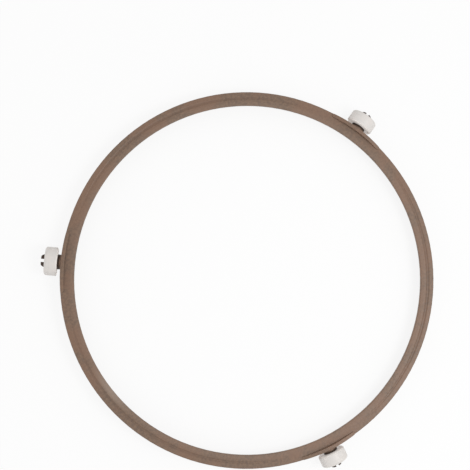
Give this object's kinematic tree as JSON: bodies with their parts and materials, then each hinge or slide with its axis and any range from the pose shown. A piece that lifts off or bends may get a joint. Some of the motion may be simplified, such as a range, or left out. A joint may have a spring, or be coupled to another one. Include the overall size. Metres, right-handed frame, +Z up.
{
  "type": "microwave roller ring",
  "caption": "Moulded brown plastic ring with raised lugs and split snap pins that hold free-turning white rollers; it carries a microwave oven's glass tray.",
  "frame": {"origin": "the ring's axis, on the oven floor that the rollers stand on", "axes": "+Z up along the ring's axis, +X through the first roller"},
  "size_m": [0.1995, 0.19, 0.014],
  "materials": {
    "ring_plastic": "taupe-brown moulded plastic, fine satin grain",
    "roller_plastic": "off-white moulded plastic, satin"
  },
  "bodies": {
    "ring": {"ring": "ring_plastic"},
    "roller_1": {"roller_1": "roller_plastic"},
    "roller_2": {"roller_2": "roller_plastic"},
    "roller_3": {"roller_3": "roller_plastic"}
  },
  "joints": [
    {"name": "roller_1_spin", "type": "hinge", "parent": "ring", "child": "roller_1", "pos_m": [0.09975, 0, 0.007], "axis": [1, 0, 0], "continuous": true},
    {"name": "roller_2_spin", "type": "hinge", "parent": "ring", "child": "roller_2", "pos_m": [-0.04988, 0.08639, 0.007], "axis": [-0.5, 0.866, 0], "continuous": true},
    {"name": "roller_3_spin", "type": "hinge", "parent": "ring", "child": "roller_3", "pos_m": [-0.04988, -0.08639, 0.007], "axis": [-0.5, -0.866, 0], "continuous": true}
  ]
}
